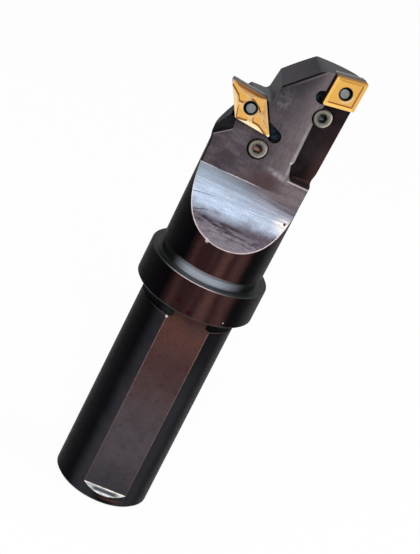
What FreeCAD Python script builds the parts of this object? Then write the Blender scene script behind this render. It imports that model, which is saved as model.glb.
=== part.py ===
import FreeCAD, Part
import math
import os

# Boring bar with a plain shank, a collar and two lever-lock insert seats.
# Millimetres, +Z up. The origin is the centre of the shank's end face and the bar's axis is Z.
# The rake faces, the main face of the head and the clamping flat look towards -Y.

os.makedirs("parts", exist_ok=True)

# Shank
shank_radius = 20.0
shank_length = 94.5
shank_end_chamfer = 1.2
flat_depth = 2.2
flat_start = 6.2
relief_width = 5.7
relief_depth = 0.9

# Collar
collar_radius = 25.0
collar_height = 14.8
collar_lower_chamfer = 0.7
collar_upper_chamfer = 0.35

# Neck and head
neck_relief_width = 4.0
neck_relief_depth = 1.0
neck_edge_chamfer = 0.4
neck_radius = 21.4
neck_length = 48.7
head_start_radius = 21.9
head_step_radius = 22.5
head_step_height = 3.0
head_end_radius = 23.9
head_length = 43.7
head_back_radius = 26.0
head_back_reach = 22.2

# Main face of the head and the gash below it
face_drop = 2.4
gash_line_rise = 39.3
gash_radius = 46.4
gash_kink_angle = 12.7
gash_run_out_angle = 62.0

# Roof of the head: a slanting facet and an end facet that meet in a ridge
roof_corner_side = -5.5
roof_corner_drop = 12.2
roof_angle = 45.0
roof_relief_angle = 2.0
end_facet_rise_angle = 5.0
end_facet_relief_angle = 7.8
ridge_round_front = 9.0
ridge_round_back = 1.0

# Notch between the head and the left seat
notch_wall_lean = 7.0
notch_fillet = 2.0
notch_floor_inset = 1.5
notch_floor_relief = 5.5

# Flank of the left seat
horn_flank_inset = 0.7
horn_shoulder_low_side = 2.4
horn_shoulder_low_drop = 19.8
horn_shoulder_high_side = 6.5
horn_shoulder_high_drop = 12.8

# Lowered flat beside the left seat
left_recess_depth = 1.3
left_recess_outer_side = 3.3
left_recess_outer_drop = 23.2
left_recess_inner_side = 8.9
left_recess_inner_drop = 18.8
left_recess_inner_rise = 6.5
left_recess_inner_lean = 0.6

# Chip recess below the right seat
right_recess_width = 13.1
right_recess_length = 48.0
right_recess_slope = 13.0
right_recess_axis_depth = 0.4
right_recess_axis_side = 6.6
right_recess_corner = 1.3
right_recess_foot_round = 0.9
right_recess_foot_inset = 0.5
right_recess_step_drop = 41.8
right_recess_step = 0.8
right_recess_step_ramp = 1.2
right_recess_shoulder_side = 0.5
right_recess_shoulder_drop = 1.5

# Seats
rake_angle = 6.0
inscribed_circle = 12.7
insert_thickness = 4.76
insert_hole = 5.16
insert_hole_round = 0.15
shim_thickness = 3.18
shim_inset = 0.3
least_corner = 0.2
wall_gap = 0.02
wall_relief = 0.6
wall_relief_depth = 4.2

left_nose_angle = 55.0
left_nose_radius = 0.4
left_tip_overhang = 0.8
left_tip_drop = 5.1
left_diagonal = -33.6
left_screw_reach = 17.1
left_screw_turn = -23.2
left_relief_radius = 2.7
left_relief_along = 15.0
left_relief_across = 1.5
left_way_length = 6.2
left_way_width = 3.2
left_way_turn = 10.5

right_nose_angle = 80.0
right_nose_radius = 0.8
right_tip_overhang = 0.7
right_tip_rise = 2.6
right_diagonal = 226.0
right_screw_reach = 13.5
right_screw_turn = 29.5
right_relief_radius = 2.75
right_relief_along = 8.6
right_relief_across = -1.55

# Chipbreaker of the left insert: a dished top with two tip islands and two side islands.
# Outlines are (along, across) from the hole, for one half of each island.
left_chip_rim = 0.3
left_chip_slope = 1.0
left_chip_depth = 0.28
island_drop = 0.02
island_bevel = 0.1
island_corner = 0.35
tip_island = [(-12.3, 0.45), (-7.3, 1.1), (-5.0, 1.95), (-3.45, 0.8)]
side_island = [(0.0, 6.4), (3.45, 3.4), (3.1, 2.7), (1.5, 3.1)]

# Chipbreaker of the right insert: a rim that slopes down to a groove round a flat middle
right_chip_rim = 0.35
right_chip_groove = 1.45
right_chip_middle = 1.85
right_chip_depth = 0.26
right_hole_round = 0.32

# Shim pin, a split sleeve
sleeve_outer = 6.6
sleeve_inner = 5.4
sleeve_length = 4.3
sleeve_sink = 0.35
sleeve_slit = 0.8
sleeve_fit = 0.02
sleeve_ledge = 0.4

# Lever
lever_pin = 4.0
lever_pin_offset = 0.42
lever_neck = 3.4
lever_top_drop = 0.7
lever_depth = 12.9
lever_arm_thickness = 2.8
lever_arm_width = 4.2
lever_heel_back = 0.9
lever_heel_radius = 1.0
lever_nose_gap = 0.25
lever_nose_contact = 0.45
lever_pin_chamfer = 0.4
lever_neck_start = 1.4
lever_neck_end = 0.4
lever_root = 0.5
lever_root_rise = 0.6
lever_foot_inset = 0.3
slot_inset = 0.6
lever_cut_clearance = 0.3
lever_swing = 4.5

# Lever screw
screw_diameter = 8.0
screw_fit = 0.05
screw_groove = 4.4
screw_collar = 6.6
screw_collar_height = 1.4
screw_groove_gap = 0.18
screw_top_drop = 0.15
screw_socket = 3.5
screw_socket_depth = 4.0
screw_edge_chamfer = 0.5
screw_foot_chamfer = 0.3
screw_mouth = 0.3
screw_mouth_depth = 1.5

# Room that cutting shapes are given past the faces they cut
big = 80.0
overshoot = 1.0
head_edge_room = 5.0
pocket_run_out = 14.0

# Values worked out from the sizes above
seat_depth = insert_thickness + shim_thickness
collar_top = shank_length + collar_height
neck_start = collar_top + neck_relief_width
head_start = collar_top + neck_length
end_facet_height = head_start + head_length
head_end = end_facet_height + 2 * right_tip_rise
roof_corner_z = end_facet_height - roof_corner_drop
left_tip = FreeCAD.Vector(-head_end_radius - left_tip_overhang, 0, roof_corner_z - left_tip_drop)
right_tip = FreeCAD.Vector(head_end_radius + right_tip_overhang, 0, end_facet_height + right_tip_rise)
slot_floor = lever_depth + lever_cut_clearance
X_AXIS = FreeCAD.Vector(1, 0, 0)
Y_AXIS = FreeCAD.Vector(0, 1, 0)
Z_AXIS = FreeCAD.Vector(0, 0, 1)


def sin(degrees):
    return math.sin(math.radians(degrees))


def cos(degrees):
    return math.cos(math.radians(degrees))


def tan(degrees):
    return math.tan(math.radians(degrees))


def vec(x, y, z=0.0):
    return FreeCAD.Vector(x, y, z)


def face_of(points):
    """Flat face through the points, closed by a last straight edge."""
    return Part.Face(Part.makePolygon(points + [points[0]]))


def prism(outline, low, high):
    """Solid between two heights over an outline of (u, v) points."""
    base = face_of([vec(u, v, low) for u, v in outline])
    return base.extrude(vec(0, 0, high - low))


def revolved(profile):
    """Solid of revolution about Z from (radius, height) points."""
    return face_of([vec(r, 0, z) for r, z in profile]).revolve(vec(0, 0, 0), Z_AXIS, 360)


def rod(radius, low, high, u=0.0, v=0.0):
    return Part.makeCylinder(radius, high - low, vec(u, v, low))


class Seat:
    """One insert seat: its own frame has u right, v up and w out of the rake face.

    The frame's origin is the centre of the insert's hole in the plane of the rake face.
    """

    def __init__(self, side, nose_angle, nose_radius, tip, diagonal, screw, relief, lean):
        self.side = side
        self.half_angle = nose_angle / 2
        self.nose_radius = nose_radius
        self.relief = relief
        self.long_half = inscribed_circle / 2 / sin(self.half_angle)
        self.short_half = inscribed_circle / 2 / cos(self.half_angle)
        slope = tan(rake_angle)
        self.out = vec(lean * slope, -1, slope).normalize()
        self.right = (X_AXIS - self.out * self.out.x).normalize()
        self.up = self.out.cross(self.right)
        self.diagonal = diagonal
        along = self.right * cos(diagonal) + self.up * sin(diagonal)
        self.centre = tip + along * self.long_half
        self.screw_angle = diagonal + screw[1]
        self.screw_reach = screw[0]

    def placement(self):
        a, b, c, o = self.right, self.up, self.out, self.centre
        return FreeCAD.Placement(FreeCAD.Matrix(
            a.x, b.x, c.x, o.x,
            a.y, b.y, c.y, o.y,
            a.z, b.z, c.z, o.z,
            0, 0, 0, 1))

    def place(self, shape):
        """Move a solid drawn in the seat's frame to the bar."""
        moved = shape.copy()
        moved.Placement = self.placement().multiply(shape.Placement)
        return moved

    def local(self, point):
        """The (u, v, w) of a point of the bar."""
        offset = point - self.centre
        return vec(offset.dot(self.right), offset.dot(self.up), offset.dot(self.out))

    def rhombus(self, inset=0.0):
        """Corners from the cutting corner round: tip, left of it, far corner, right of it."""
        scale = 1 - inset / (inscribed_circle / 2)
        corners = [(-self.long_half, 0), (0, self.short_half), (self.long_half, 0), (0, -self.short_half)]
        return [self.turned(a * scale, b * scale) for a, b in corners]

    def turned(self, along, across):
        """A point given along and across the insert's long diagonal, in (u, v)."""
        c, s = cos(self.diagonal), sin(self.diagonal)
        return (along * c - across * s, along * s + across * c)

    def along_lever(self, shape):
        """Turn a solid drawn with the lever along u into the seat's frame."""
        return shape.rotate(vec(0, 0, 0), Z_AXIS, self.screw_angle)

    def edge_slope(self):
        """Fall of the left seat's upper cutting edge towards the bar's axis, in degrees."""
        return -(self.diagonal + self.half_angle)


def make_seats():
    left = Seat("left", left_nose_angle, left_nose_radius, left_tip,
                left_diagonal, (left_screw_reach, left_screw_turn),
                (left_relief_radius, left_relief_along, left_relief_across), -1)
    right = Seat("right", right_nose_angle, right_nose_radius, right_tip,
                 right_diagonal, (right_screw_reach, right_screw_turn),
                 (right_relief_radius, right_relief_along, right_relief_across), 1)
    return left, right


def turned_blank():
    """Shank, collar, neck and head as one turned bar."""
    groove_low = shank_length - relief_width
    profile = [
        (0, 0),
        (shank_radius - shank_end_chamfer, 0),
        (shank_radius, shank_end_chamfer),
        (shank_radius, flat_start),
        (shank_radius, groove_low),
        (shank_radius - relief_depth, groove_low + relief_depth),
        (shank_radius - relief_depth, shank_length),
        (collar_radius - collar_lower_chamfer, shank_length),
        (collar_radius, shank_length + collar_lower_chamfer),
        (collar_radius, collar_top - collar_upper_chamfer),
        (collar_radius - collar_upper_chamfer, collar_top),
        (neck_radius - neck_relief_depth, collar_top),
        (neck_radius - neck_relief_depth, neck_start),
        (neck_radius - neck_edge_chamfer, neck_start),
        (neck_radius, neck_start + neck_edge_chamfer),
        (head_start_radius, head_start),
        (head_step_radius, head_start + head_step_height),
        (head_end_radius, head_end),
        (0, head_end),
    ]
    return revolved(profile)


def head_back_cut():
    """Everything behind the relieved back of the head."""
    height = 2 * (head_end - head_start)
    around = Part.makeBox(2 * big, 2 * big, height, vec(-big, -big, head_start))
    kept = Part.makeCylinder(head_back_radius, height, vec(0, head_back_reach - head_back_radius, head_start))
    return around.cut(kept)


def clamping_flat():
    """Wedge-ended cut for the flat; it runs up to the collar."""
    level = -(shank_radius - flat_depth)
    run_out = flat_depth + overshoot
    side = face_of([
        vec(-big, level, flat_start),
        vec(-big, level, shank_length),
        vec(-big, level - run_out, shank_length),
        vec(-big, level - run_out, flat_start - run_out),
    ])
    return side.extrude(X_AXIS * 2 * big)


def face_and_gash(left):
    """Everything in front of the main face, and the hollow that runs out below it."""
    line = left.local(vec(0, 0, collar_top + gash_line_rise)).y
    level = -face_drop
    start_angle = gash_kink_angle
    middle_angle = (start_angle + gash_run_out_angle) / 2
    centre_v = line + gash_radius * sin(start_angle)
    centre_w = level + gash_radius * cos(start_angle)

    def on_arc(angle):
        return vec(0, centre_v - gash_radius * sin(angle), centre_w - gash_radius * cos(angle))

    top = left.local(vec(0, 0, head_end)).y + head_edge_room
    first, middle, last = on_arc(start_angle), on_arc(middle_angle), on_arc(gash_run_out_angle)
    edges = [
        Part.Arc(last, middle, first).toShape(),
        Part.makeLine(first, vec(0, top, level)),
        Part.makeLine(vec(0, top, level), vec(0, top, big)),
        Part.makeLine(vec(0, top, big), vec(0, last.y, big)),
        Part.makeLine(vec(0, last.y, big), last),
    ]
    section = Part.Face(Part.Wire(edges))
    section.translate(vec(-big, 0, 0))
    return left.place(section.extrude(X_AXIS * 2 * big))


def above(x, z, rise_angle, relief_angle):
    """Half space above a facet that rises towards +X and falls towards the back of the head."""
    space = Part.makeBox(4 * big, 4 * big, big, vec(-2 * big, -2 * big, 0))
    space.rotate(vec(0, 0, 0), X_AXIS, -relief_angle)
    space.rotate(vec(0, 0, 0), Y_AXIS, -rise_angle)
    space.translate(vec(x, 0, z))
    return space


def roof_cut():
    """Everything above the slanting facet, the end facet and the ridge between them."""
    front = -head_edge_room
    back = head_back_reach + head_edge_room
    block = Part.makeBox(2 * big, back - front, big, vec(-big, front, roof_corner_z - big / 2))
    kept = block.cut(above(roof_corner_side, roof_corner_z, roof_angle, roof_relief_angle))
    kept = kept.cut(above(0, end_facet_height, end_facet_rise_angle, end_facet_relief_angle))
    ridge = [e for e in kept.Edges
             if abs(e.CenterOfMass.x) < big / 2 and abs(e.tangentAt(e.FirstParameter).y) > 0.9]
    starts_in_front = ridge[0].valueAt(ridge[0].FirstParameter).y < ridge[0].valueAt(ridge[0].LastParameter).y
    rounds = (ridge_round_front, ridge_round_back)
    kept = kept.makeFillet(*(rounds if starts_in_front else rounds[::-1]), ridge)
    return block.cut(kept)


def notch_cut(left):
    """The V between the left seat and the head: a leaning wall, a floor and a round between."""
    edge_fall = left.edge_slope()
    floor_x = left_tip.x
    floor_z = left_tip.z - notch_floor_inset / cos(edge_fall)
    lean = tan(notch_wall_lean)
    wall_low_x = roof_corner_side - (roof_corner_z - floor_z) * lean
    corner_x = (wall_low_x + floor_x * tan(edge_fall) * lean) / (1 + tan(edge_fall) * lean)
    corner_z = floor_z - (corner_x - floor_x) * tan(edge_fall)
    outline = [
        (floor_x - big, floor_z + big * tan(edge_fall)),
        (corner_x, corner_z),
        (roof_corner_side + big * lean, roof_corner_z + big),
        (floor_x - big, roof_corner_z + big),
    ]
    section = face_of([vec(x, 0, z) for x, z in outline])
    section.translate(Y_AXIS * -big)
    solid = section.extrude(Y_AXIS * 2 * big)
    edge = [e for e in solid.Edges if all(abs(v.X - corner_x) < 1e-6 for v in e.Vertexes)]
    solid = solid.makeFillet(notch_fillet, edge)
    solid.rotate(vec(0, 0, floor_z), X_AXIS, -notch_floor_relief)
    return solid


def beside_left_tip(side, drop):
    return left_tip + vec(side, 0, -drop)


def horn_flank_cut(left):
    """Clearance along the left insert's outer flank, ending in the slanting shoulder."""
    tip, _, _, beside = left.rhombus(horn_flank_inset)
    tip, beside = vec(*tip), vec(*beside)
    flank = (beside - tip).normalize()
    low = left.local(beside_left_tip(horn_shoulder_low_side, horn_shoulder_low_drop))
    high = left.local(beside_left_tip(horn_shoulder_high_side, horn_shoulder_high_drop))
    shoulder = vec(high.x - low.x, high.y - low.y).normalize()
    reach = (low.x - tip.x) * shoulder.y - (low.y - tip.y) * shoulder.x
    reach = reach / (flank.x * shoulder.y - flank.y * shoulder.x)
    meet = tip + flank * reach
    above = tip - flank * big
    below = meet - shoulder * big
    outline = [(above.x, above.y), (meet.x, meet.y), (below.x, below.y)]
    return left.place(prism(outline, -big, big))


def left_recess_cut(left):
    """Lowered flat beside the left seat."""
    outer = left.local(beside_left_tip(left_recess_outer_side, left_recess_outer_drop))
    inner = left.local(beside_left_tip(left_recess_inner_side, left_recess_inner_drop))
    outer = outer + (outer - inner)
    outline = [
        (outer.x, outer.y),
        (inner.x, inner.y),
        (inner.x - left_recess_inner_lean, inner.y + left_recess_inner_rise),
        (inner.x - left_recess_inner_lean, inner.y + big),
        (outer.x - big, inner.y + big),
    ]
    return left.place(prism(outline, -face_drop - left_recess_depth, big))


def right_recess_cut():
    """Sloping chip recess below the right seat, with a ledge at its foot."""
    border = right_tip.x - right_recess_width
    foot = right_tip.z - right_recess_length
    step = right_tip.z - right_recess_step_drop
    outline = [
        (border, foot + big),
        (border, step + right_recess_step_ramp),
        (border - right_recess_step, step),
        (border - right_recess_shoulder_side, step - right_recess_shoulder_drop),
        (border + right_recess_foot_inset, foot + right_recess_corner),
        (border + right_recess_foot_inset + right_recess_corner, foot),
        (border + big, foot),
        (border + big, foot + big),
    ]
    block = face_of([vec(x, 0, z) for x, z in outline]).extrude(Y_AXIS * -2 * big)
    block.translate(Y_AXIS * big)
    front = Part.makeBox(4 * big, big, 4 * big, vec(-2 * big, -big, 0))
    front.rotate(vec(0, 0, 0), Z_AXIS, right_recess_slope)
    start = vec(right_tip.x - right_recess_axis_side, right_recess_axis_depth, foot)
    front.translate(vec(start.x, start.y, 0))
    recess = block.common(front)
    along = vec(cos(right_recess_slope), sin(right_recess_slope))
    ledge = [e for e in recess.Edges if all((v.Point - start).cross(along).Length < 1e-6 for v in e.Vertexes)]
    return recess.makeFillet(right_recess_foot_round, ledge)


def pocket_outline(seat, gap):
    """Outline that stands off the insert's two inner sides by a gap and runs out past the cutting sides."""
    tip, beside_a, far, beside_b = [vec(*p) for p in seat.rhombus(-gap)]
    corners = [far, beside_a, beside_a + (beside_a - far).normalize() * pocket_run_out,
               tip + (tip - far).normalize() * 2 * pocket_run_out,
               beside_b + (beside_b - far).normalize() * pocket_run_out, beside_b]
    return [(p.x, p.y) for p in corners]


def pocket_cut(seat):
    """Room for the insert and the shim, with walls that stand back near their tops and a drilled corner."""
    pocket = prism(pocket_outline(seat, wall_gap), -seat_depth, big)
    stepped = prism(pocket_outline(seat, wall_relief), -wall_relief_depth, big)
    radius, along, across = seat.relief
    u, v = seat.turned(along, across)
    return pocket.fuse([stepped, rod(radius, -seat_depth, big, u, v)])


def left_way_cut(left):
    """Way that the cutter took from the left pocket's drilled corner back into the pocket."""
    way = Part.makeBox(left_way_length, left_way_width, seat_depth + big, vec(0, -left_relief_radius, -seat_depth))
    way.rotate(vec(0, 0, 0), Z_AXIS, left.diagonal + 180 + left_way_turn)
    way.translate(vec(*left.turned(left_relief_along, left_relief_across)))
    return left.place(way)


def lever_room(seat):
    """Bore for the sleeve and the lever's upright, slot for the arm and bore for the screw."""
    clear = lever_cut_clearance
    half = lever_arm_width / 2 + clear
    bore = rod(sleeve_outer / 2 + sleeve_fit, -seat_depth - sleeve_engagement() - clear, -seat_depth)
    low_bore = rod(sleeve_outer / 2 - sleeve_ledge, -slot_floor, -seat_depth)
    rise = lever_lift(seat) + clear
    roof = -lever_depth + lever_arm_thickness + rise
    tunnel = Part.makeBox(seat.screw_reach, 2 * half, roof + slot_floor, vec(0, -half, -slot_floor))
    open_slot = Part.makeBox(open_slot_reach(), 2 * half, slot_floor - seat_depth, vec(0, -half, -slot_floor))
    screw_bore = screw_diameter / 2 + screw_fit
    shaft = rod(screw_bore, -screw_foot_depth() - clear, big, seat.screw_reach)
    mouth = rod(screw_bore + screw_mouth, -face_drop - screw_mouth_depth, big, seat.screw_reach)
    room = bore.fuse([low_bore, tunnel, open_slot, shaft, mouth])
    return seat.along_lever(room)


def sleeve_engagement():
    return sleeve_length - (shim_thickness - sleeve_sink)


def open_slot_reach():
    return inscribed_circle / 2 - slot_inset


def lever_lift(seat):
    """Rise of the lever's nose when it swings to its free limit."""
    arm = seat.screw_reach - nose_reach_back() + lever_heel_back - lever_pin_offset
    return math.radians(lever_swing) * arm


def nose_reach_back():
    return screw_groove / 2 + lever_nose_gap + lever_nose_contact


def screw_foot_depth():
    return lever_depth + screw_groove_gap + screw_collar_height


def make_body(left, right):
    body = turned_blank()
    body = body.cut(head_back_cut())
    body = body.cut(clamping_flat())
    body = body.cut(face_and_gash(left))
    body = body.cut(roof_cut())
    body = body.cut(notch_cut(left))
    body = body.cut(horn_flank_cut(left))
    body = body.cut(left_recess_cut(left))
    body = body.cut(right_recess_cut())
    for seat in (left, right):
        body = body.cut(seat.place(pocket_cut(seat)))
        body = body.cut(seat.place(lever_room(seat)))
    return body.cut(left_way_cut(left))


def rounded_rhombus(seat, low, high, inset=0.0):
    """Rhombic plate with the nose radius on its four upright edges."""
    plate = prism(seat.rhombus(inset), low, high)
    upright = [e for e in plate.Edges if abs(e.tangentAt(e.FirstParameter).z) > 0.9]
    return plate.makeFillet(max(seat.nose_radius - inset, least_corner), upright)


def insert_blank(seat, mouth):
    """Plain insert with its hole; the mouth is the width of the bevel round the hole."""
    plate = rounded_rhombus(seat, -insert_thickness, 0)
    radius = insert_hole / 2
    hole = revolved([
        (0, overshoot),
        (radius + mouth + overshoot, overshoot),
        (radius, -mouth),
        (radius, -insert_thickness + insert_hole_round),
        (radius + insert_hole_round + overshoot, -insert_thickness - overshoot),
        (0, -insert_thickness - overshoot),
    ])
    return plate.cut(hole)


def dish(seat, inset_low, low, inset_high, high, corner):
    """Rhombic block between two levels whose sides slope from one inset to the other."""
    wires = []
    for inset, level in ((inset_low, low), (inset_high, high)):
        points = [vec(u, v, level) for u, v in seat.rhombus(inset)]
        wires.append(Part.makePolygon(points + [points[0]]))
    block = Part.makeLoft(wires, True, True)
    upright = [e for e in block.Edges if abs(e.Vertexes[0].Z - e.Vertexes[1].Z) > (high - low) / 2]
    return block.makeFillet(corner, upright)


def island(seat, points):
    """Raised land with rounded corners and a bevelled upper edge."""
    low, high = -2 * left_chip_depth, -island_drop
    land = prism([seat.turned(along, across) for along, across in points], low, high)
    upright = [e for e in land.Edges if e.BoundBox.ZLength > (high - low) / 2]
    land = land.makeFillet(island_corner, upright)
    top = [e for e in land.Edges if e.BoundBox.ZMin > (high + low) / 2]
    return land.makeChamfer(island_bevel, top)


def make_left_insert(seat):
    """Insert with a dished top and four islands; the second pair is the first turned by half a turn."""
    insert = insert_blank(seat, insert_hole_round)
    rim, slope, depth = left_chip_rim, left_chip_slope, left_chip_depth
    top = dish(seat, rim + slope, -depth, rim - slope, depth, seat.nose_radius)
    insert = insert.cut(top)
    tip_outline = tip_island + [(a, -b) for a, b in reversed(tip_island)]
    side_outline = side_island + [(-a, b) for a, b in reversed(side_island[1:])]
    for half_turn in (1, -1):
        for outline in (tip_outline, side_outline):
            insert = insert.fuse(island(seat, [(a * half_turn, b * half_turn) for a, b in outline]))
    return insert


def make_right_insert(seat):
    """Insert with a sloping rim and a groove round its flat middle."""
    insert = insert_blank(seat, right_hole_round)
    rim, groove, middle, depth = right_chip_rim, right_chip_groove, right_chip_middle, right_chip_depth
    sunk = dish(seat, groove, -depth, 2 * rim - groove, depth, seat.nose_radius)
    kept = dish(seat, groove, -depth, 2 * middle - groove, depth, seat.nose_radius)
    return insert.cut(sunk.cut(kept))


def make_shim(seat):
    plate = rounded_rhombus(seat, -seat_depth, -insert_thickness, shim_inset)
    hole = rod(sleeve_outer / 2 + sleeve_fit, -seat_depth - overshoot, overshoot)
    return plate.cut(hole)


def make_sleeve(seat):
    """Split sleeve that holds the shim; its slit looks away from the lever's arm."""
    top = -insert_thickness - sleeve_sink
    low = top - sleeve_length
    sleeve = rod(sleeve_outer / 2, low, top).cut(rod(sleeve_inner / 2, low - overshoot, top + overshoot))
    slit = Part.makeBox(sleeve_outer, sleeve_slit, sleeve_length + 2 * overshoot,
                        vec(-sleeve_outer, -sleeve_slit / 2, low - overshoot))
    return seat.along_lever(sleeve.cut(slit))


def make_lever(seat):
    """Upright pin with a barrel head, on an arm that ends in a nose in the screw's groove."""
    top = -lever_top_drop
    arm_top = -lever_depth + lever_arm_thickness
    pin_r, neck_r = lever_pin / 2, lever_neck / 2
    upright = revolved([
        (0, top),
        (pin_r - lever_pin_chamfer, top),
        (pin_r, top - lever_pin_chamfer),
        (pin_r, -insert_thickness + lever_neck_start),
        (neck_r, -insert_thickness + lever_neck_end),
        (neck_r, arm_top + lever_root_rise),
        (neck_r + lever_root, arm_top),
        (neck_r + lever_root, -lever_depth + lever_foot_inset),
        (0, -lever_depth + lever_foot_inset),
    ])
    upright.translate(vec(lever_pin_offset, 0, 0))
    end = seat.screw_reach - screw_groove / 2 - lever_nose_gap
    start = lever_pin_offset - lever_heel_back - lever_heel_radius
    arm = Part.makeBox(end - start, lever_arm_width, lever_arm_thickness,
                       vec(start, -lever_arm_width / 2, -lever_depth))
    heel = [e for e in arm.Edges
            if abs(e.CenterOfMass.x - start) < 1e-6 and abs(e.CenterOfMass.z + lever_depth) < 1e-6]
    arm = arm.makeFillet(lever_heel_radius, heel)
    lever = arm.fuse(upright).removeSplitter()
    return seat.along_lever(lever)


def make_screw(seat):
    """Socket screw with a grooved foot that catches the lever's nose."""
    top = -face_drop - screw_top_drop
    groove_top = -lever_depth + lever_arm_thickness + screw_groove_gap
    collar_level = -lever_depth - screw_groove_gap
    low = collar_level - screw_collar_height
    r = screw_diameter / 2
    body = revolved([
        (0, top),
        (r - screw_edge_chamfer, top),
        (r, top - screw_edge_chamfer),
        (r, groove_top + screw_edge_chamfer),
        (r - screw_edge_chamfer, groove_top),
        (screw_groove / 2, groove_top),
        (screw_groove / 2, collar_level),
        (screw_collar / 2, collar_level),
        (screw_collar / 2, low + screw_foot_chamfer),
        (screw_collar / 2 - screw_foot_chamfer, low),
        (0, low),
    ])
    socket_r = screw_socket / 2 / cos(30)
    corners = [(socket_r * cos(60 * i), socket_r * sin(60 * i)) for i in range(6)]
    socket = prism(corners, top - screw_socket_depth, top + overshoot)
    screw = body.cut(socket)
    screw.translate(vec(seat.screw_reach, 0, 0))
    return seat.along_lever(screw)


def write(name, shape):
    if not shape.isValid():
        raise RuntimeError("bad solid: " + name)
    shape.exportStep("parts/" + name + ".step")
    print(name, len(shape.Solids), round(shape.Volume, 1))


def main():
    left, right = make_seats()
    write("bar_body", make_body(left, right))
    for seat, insert in ((left, make_left_insert(left)), (right, make_right_insert(right))):
        write(seat.side + "_insert", seat.place(insert))
        write(seat.side + "_shim", seat.place(make_shim(seat)))
        write(seat.side + "_shim_pin", seat.place(make_sleeve(seat)))
        write(seat.side + "_lever", seat.place(make_lever(seat)))
        write(seat.side + "_lever_screw", seat.place(make_screw(seat)))


main()
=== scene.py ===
import functools
import math

import bpy
from mathutils import Matrix, Vector

bl_info = {
    "name": "Boring Bar",
    "version": (1, 0, 0),
    "blender": (4, 5, 0),
    "location": "View3D > Sidebar > Boring Bar",
    "description": "Finishes a boring bar with two lever-lock insert seats and lights it on a pale floor",
    "category": "Object",
}

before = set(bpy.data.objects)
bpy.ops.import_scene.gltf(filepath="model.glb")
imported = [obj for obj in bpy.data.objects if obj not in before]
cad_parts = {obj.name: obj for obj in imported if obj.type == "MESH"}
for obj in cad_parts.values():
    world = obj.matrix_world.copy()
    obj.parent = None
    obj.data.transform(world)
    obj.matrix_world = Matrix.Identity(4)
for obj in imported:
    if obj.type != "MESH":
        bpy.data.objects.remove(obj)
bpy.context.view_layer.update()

MM_PER_METRE = 1000
LEAN = {"left": -1, "right": 1}
UPWARD, LEFTWARD = (0, 0, 1), (-1, 0, 0)

STEEL_SPECULAR = 0.018
COATING_SPECULAR = 0.15
BAR_BUMP = 0.00003
SCREW_BUMP = 0.00002
FINE_BUMP = 0.00001

# How far, in millimetres, a point may lie off a plane or a round face and still belong to it.
ON_PLANE = 0.05
ON_ROUND = 0.08
# Where the single marks are. Those on the collar: degrees round the bar, and height in millimetres.
RED_SPOTS = ((-20.3, 99.6), (-7.6, 96.8))
BRIGHT_SPOT = (27.4, 97.0)
# Those on the head: side and height in millimetres; for the patch, side and drop below the gash's edge.
STAIN, CHIP, NICK = (6.0, 152.0), (-8.6, 126.3), (18.0, 140.6)
PATCH = (20.5, 10.0)
# How far, in millimetres, a pocket, its walls and its floor reach from the axis of the insert's hole,
# and how deep its walls and its bores go below the rake face.
POCKET_REACH, WALL_REACH, FLOOR_REACH = 18.6, 16.9, 17.9
WALL_DEPTH, BORE_DEPTH = 8.2, 30.0
# Distances in millimetres from the axis of an insert's hole to its edge and to the ground sides.
HOLE_REACH, SIDES_START = 2.9, 4.0
# Distances in millimetres from the axis of a lever screw to the edges of its socket and its head.
SOCKET_REACH, HEAD_EDGE = 2.3, 3.88
# Where the left insert's tip islands start and end, and where its side islands end, in millimetres.
ISLAND_START, ISLAND_END, SIDE_ISLAND_END = 3.45, 12.3, 3.3

FLOOR_HALF = 3.0
FLOOR_ROUGHNESS = 0.9
FLOOR_GLOW = 0.94
WORLD_LIGHT, WORLD_BACKGROUND = 0.55, 1.0
# Name, place, target, width, depth and watts of each lamp.
LAMPS = (
    ("key", (-0.15, -0.9, 0.9), (0, 0, 0.15), 0.7, 0.5, 9),
    ("side", (0.9, -0.2, 0.5), (0, 0, 0.12), 0.4, 0.6, 4),
)
CAMERA_PLACE = (-0.18441, -0.96311, 0.53097)
CAMERA_ELEVATION, CAMERA_AZIMUTH, CAMERA_ROLL = 23.544, 11.0, 26.853
CAMERA_LENS, CAMERA_SENSOR, CAMERA_REACH = 174.05, 36, 20


def linear(value):
    """Linear value of a screen value, both from 0 to 1."""
    return value / 12.92 if value <= 0.04045 else ((value + 0.055) / 1.055) ** 2.4


def length(name, description, metres):
    return bpy.props.FloatProperty(name=name, description=description, default=metres, unit="LENGTH",
                                   precision=5)


def angle(name, description, degrees):
    return bpy.props.FloatProperty(name=name, description=description, default=math.radians(degrees),
                                   unit="ROTATION")


def place(name, description, metres):
    return bpy.props.FloatVectorProperty(name=name, description=description, default=metres, subtype="XYZ",
                                         size=3, precision=5, unit="LENGTH")


def colour(name, description, *screen):
    """A colour property from screen values of 0 to 255."""
    return bpy.props.FloatVectorProperty(name=name, description=description, subtype="COLOR", size=3,
                                         min=0, max=1, default=[linear(value / 255) for value in screen])


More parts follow.
